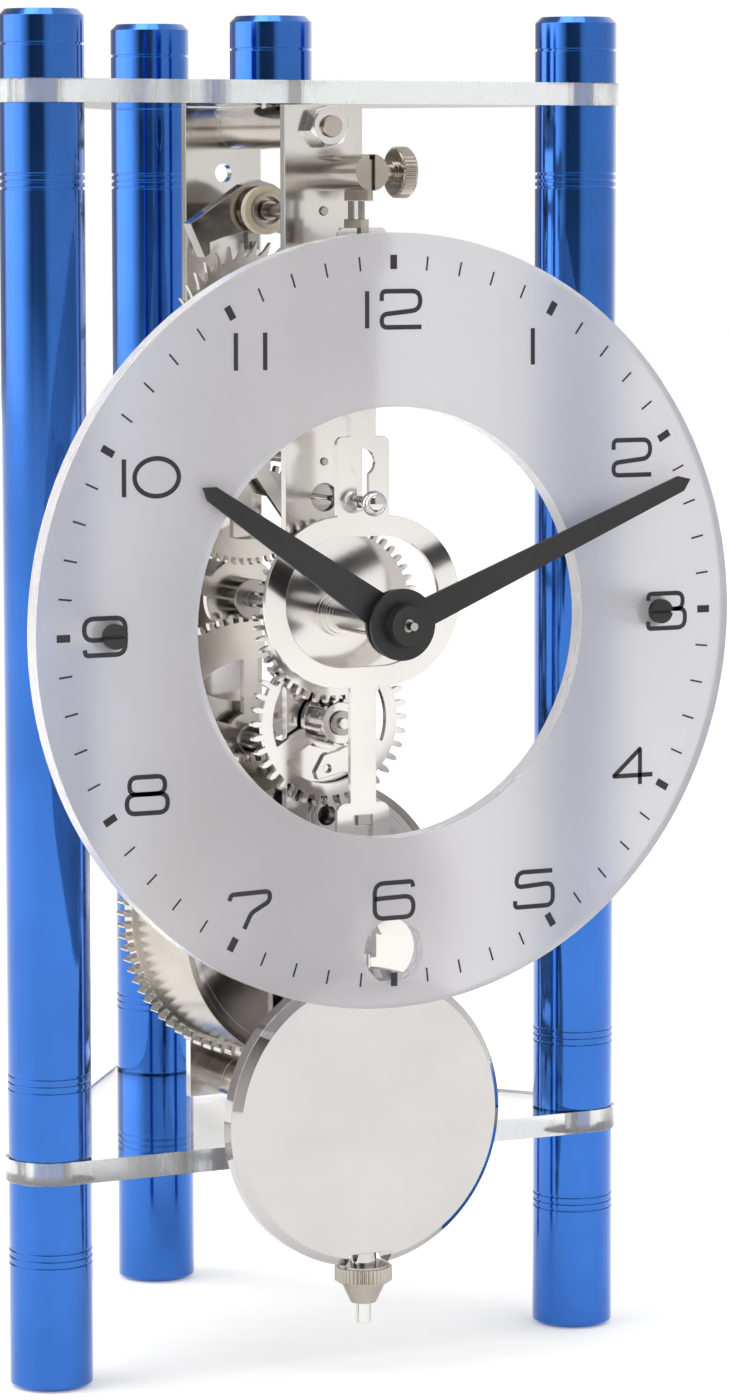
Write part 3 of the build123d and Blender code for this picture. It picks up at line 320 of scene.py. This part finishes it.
# Each stroke is its path and the radius of its corners.
SIX = [(3.05, 1.7), (2.9, 2.5), (-3.1, 2.5), (-3.1, -2.55), (3.1, -2.55), (3.1, 0.45), (-3.1, 0.3)]
DIGITS = {
    "1": [([(0, -2.6), (0, 2.6)], 0)],
    "2": [
        ([(-3.1, 1.2), (-3.1, 2.55), (3.0, 2.55), (3.0, -0.1), (-3.1, -0.7), (-3.1, -2.5), (3.2, -2.5)], 1.5),
    ],
    "3": [
        ([(-3.1, 1.5), (-3.0, 2.5), (2.7, 2.5), (2.7, 0.2), (-1.2, 0.2)], 1.1),
        ([(1.0, 0.2), (3.1, 0.2), (3.1, -2.55), (-3.1, -2.55), (-3.1, -1.5)], 1.3),
    ],
    "4": [([(3.3, -1.25), (-3.2, -1.25), (1.2, 2.6), (1.2, -2.6)], 0.15)],
    "5": [
        ([(3.0, 2.5), (-2.7, 2.5), (-3.0, 0.35), (3.1, 0.7), (3.1, -2.55), (-3.1, -2.55), (-3.1, -1.6)], 1.2),
    ],
    "6": [(SIX, 1.5)],
    "7": [([(-3.2, 1.5), (-2.9, 2.35), (3.1, 2.5), (3.1, 1.1), (0.2, -0.4), (-0.9, -2.6)], 0.7)],
    "8": [
        ([(-2.7, 0.1), (-2.7, 2.5), (2.7, 2.5), (2.7, 0.1)], 1.3),
        ([(-3.1, 0.1), (-3.1, -2.55), (3.1, -2.55), (3.1, 0.1)], 1.4),
    ],
    "9": [([(-x, -z) for x, z in SIX], 1.5)],
    "0": [(oval(ZERO_HALF_WIDTH, ZERO_HALF_HEIGHT, ZERO_STEPS), 0)],
}
CLOSED = {"8", "0"}
# Each numeral is its radius on the dial, and its figures with their shift to the right.
NUMERALS = {
    1: (44.7, [("1", 0)]), 2: (44.8, [("2", 0)]), 3: (44.7, [("3", 0)]), 4: (45.2, [("4", 0)]),
    5: (45.5, [("5", 0)]), 6: (39.5, [("6", 0)]), 7: (45.5, [("7", 0)]), 8: (44.4, [("8", 0)]),
    9: (44.7, [("9", 0)]), 10: (43.4, [("1", -4.1), ("0", 0.85)]), 11: (44.7, [("1", -2.25), ("1", 2.25)]),
    12: (44.25, [("1", -4.2), ("2", 1.2)]),
}


def ribbon(mesh, path, width, closed=False):
    """Flat stroke of ink along a path on the dial's face, in millimetres from the dial's middle."""
    points = [Vector(point) for point in path]
    count = len(points)
    sides = []
    for number, point in enumerate(points):
        before = points[number - 1] if closed or number else point
        after = points[(number + 1) % count] if closed or number < count - 1 else point
        along = (after - before).normalized()
        across = Vector((-along.y, along.x)) * width / 2
        sides.append((point + across, point - across))
    rows = []
    for left, right in sides:
        row = []
        for side, lift in ((left, 0), (left, INK_THICKNESS), (right, INK_THICKNESS), (right, 0)):
            place = (side.x * MM, DIAL_FRONT_Y - lift * MM, DIAL_CENTRE_Z + side.y * MM)
            row.append(mesh.verts.new(place))
        rows.append(row)
    last = count if closed else count - 1
    for number in range(last):
        here, there = rows[number], rows[(number + 1) % count]
        for a, b in ((0, 1), (1, 2), (2, 3), (3, 0)):
            mesh.faces.new((here[a], here[b], there[b], there[a]))
    if not closed:
        mesh.faces.new(rows[0][::-1])
        mesh.faces.new(rows[-1])


def print_dial():
    """Numerals, minute lines and hour marks."""
    for hour, (radius, signs) in NUMERALS.items():
        mesh = bmesh.new()
        turn = radians(30 * hour)
        middle = (radius * sin(turn), radius * cos(turn))
        for sign, shift in signs:
            for outline, corner in DIGITS[sign]:
                closed = sign in CLOSED
                path = rounded(outline, corner, closed) if corner else outline
                moved = [(x + middle[0] + shift, z + middle[1]) for x, z in path]
                ribbon(mesh, moved, PEN, closed)
        finish_ink(mesh, f"numeral_{hour}")
    mesh = bmesh.new()
    for minute in range(60):
        turn = radians(6 * minute)
        ends = [(radius * sin(turn), radius * cos(turn)) for radius in TRACK_RADII]
        ribbon(mesh, ends, MINUTE_PEN if minute % 5 else HOUR_PEN)
    finish_ink(mesh, "minute_track")


def finish_ink(built, name):
    """Turn the built strokes into a printed piece on the frame."""
    bmesh.ops.recalc_face_normals(built, faces=built.faces)
    mesh = bpy.data.meshes.new(name)
    built.to_mesh(mesh)
    built.free()
    add_piece(name, mesh, "frame", INK)


# ---- Studio ----
FLOOR_REACH = 3.0
FLOOR_DROP = 0.2 * MM
SKY_TINT = (1.0, 0.985, 0.965)
# Brightness of the surroundings against the share of a full turn, counted from behind the clock.
SKY_STOPS = (
    (0.0, 0.92), (0.03, 0.75), (0.055, 0.15), (0.15, 0.10), (0.185, 0.9), (0.235, 2.2), (0.31, 2.7),
    (0.385, 2.2), (0.415, 0.42), (0.52, 0.38), (0.60, 0.75), (0.66, 1.2), (0.72, 0.95), (0.80, 0.88),
    (1.0, 0.92),
)
LIGHT_AIM = Vector((0, 0, 0.1))
LIGHT_PLACE = (-0.2, -0.1, 1.3)
LIGHT_SIZE = 1.0
LIGHT_POWER = 6.0


def studio_floor():
    """Pale square to stand on, just under the feet."""
    mesh = bpy.data.meshes.new("studio_floor")
    sides = ((-1, -1), (1, -1), (1, 1), (-1, 1))
    corners = [(x * FLOOR_REACH, y * FLOOR_REACH, -FLOOR_DROP) for x, y in sides]
    mesh.from_pydata(corners, [], [(0, 1, 2, 3)])
    mesh.materials.append(FLOOR)
    floor = bpy.data.objects.new("studio_floor", mesh)
    bpy.context.scene.collection.objects.link(floor)


def surroundings():
    """World that looks white, and lights the clock with brighter and darker stretches round it."""
    world = bpy.data.worlds.new("studio")
    world.use_nodes = True
    bpy.context.scene.world = world
    nodes = Nodes(world.node_tree, "ShaderNodeOutputWorld")
    place = nodes.add("ShaderNodeTexCoord")
    split = nodes.add("ShaderNodeSeparateXYZ")
    nodes.link(place.outputs["Generated"], split.inputs["Vector"])
    around = nodes.add("ShaderNodeMath", operation="ARCTAN2")
    nodes.link(split.outputs["X"], around.inputs[0])
    nodes.link(split.outputs["Y"], around.inputs[1])
    share = nodes.add("ShaderNodeMapRange")
    share.inputs["From Min"].default_value = -pi
    share.inputs["From Max"].default_value = pi
    nodes.link(around.outputs[0], share.inputs["Value"])
    bands = nodes.add("ShaderNodeValToRGB")
    elements = bands.color_ramp.elements
    while len(elements) < len(SKY_STOPS):
        elements.new(0.5)
    for element, (position, value) in zip(elements, SKY_STOPS):
        element.position = position
        element.color = (*(value * tint for tint in SKY_TINT), 1)
    nodes.link(share.outputs["Result"], bands.inputs["Fac"])
    sky = nodes.add("ShaderNodeBackground")
    nodes.link(bands.outputs["Color"], sky.inputs["Color"])
    white = nodes.add("ShaderNodeBackground")
    white.inputs["Color"].default_value = (1, 1, 1, 1)
    ray = nodes.add("ShaderNodeLightPath")
    seen = nodes.add("ShaderNodeMath", operation="MAXIMUM")
    nodes.link(ray.outputs["Is Camera Ray"], seen.inputs[0])
    nodes.link(ray.outputs["Is Transmission Ray"], seen.inputs[1])
    nodes.finish(nodes.mix(seen.outputs[0], sky, white))


def soft_light(name, place, size, power):
    """Square area light aimed at the clock."""
    data = bpy.data.lights.new(name, "AREA")
    data.size = size
    data.energy = power
    light = bpy.data.objects.new(name, data)
    light.location = place
    aim = LIGHT_AIM - Vector(place)
    light.rotation_euler = aim.to_track_quat("-Z", "Y").to_euler()
    bpy.context.scene.collection.objects.link(light)


CAMERA_PLACE = (-318.914, -654.695, 172.261)
CAMERA_DOWN = 6.036
CAMERA_ROLL = 0.07
CAMERA_RIGHT = 27.116
LENS = 126.33
SENSOR_WIDTH = 36


def camera():
    """Long lens, level with the upper half of the clock, to the left of its front."""
    data = bpy.data.cameras.new("camera")
    data.lens = LENS
    data.sensor_width = SENSOR_WIDTH
    view = bpy.data.objects.new("camera", data)
    view.location = [length * MM for length in CAMERA_PLACE]
    turns = (radians(90 - CAMERA_DOWN), radians(CAMERA_ROLL), radians(-CAMERA_RIGHT))
    view.rotation_euler = Euler(turns, "XYZ")
    bpy.context.scene.collection.objects.link(view)
    bpy.context.scene.camera = view


dress_nodes()
print_dial()
studio_floor()
surroundings()
soft_light("top_light", LIGHT_PLACE, LIGHT_SIZE, LIGHT_POWER)
camera()
bpy.context.scene.view_settings.view_transform = "Standard"
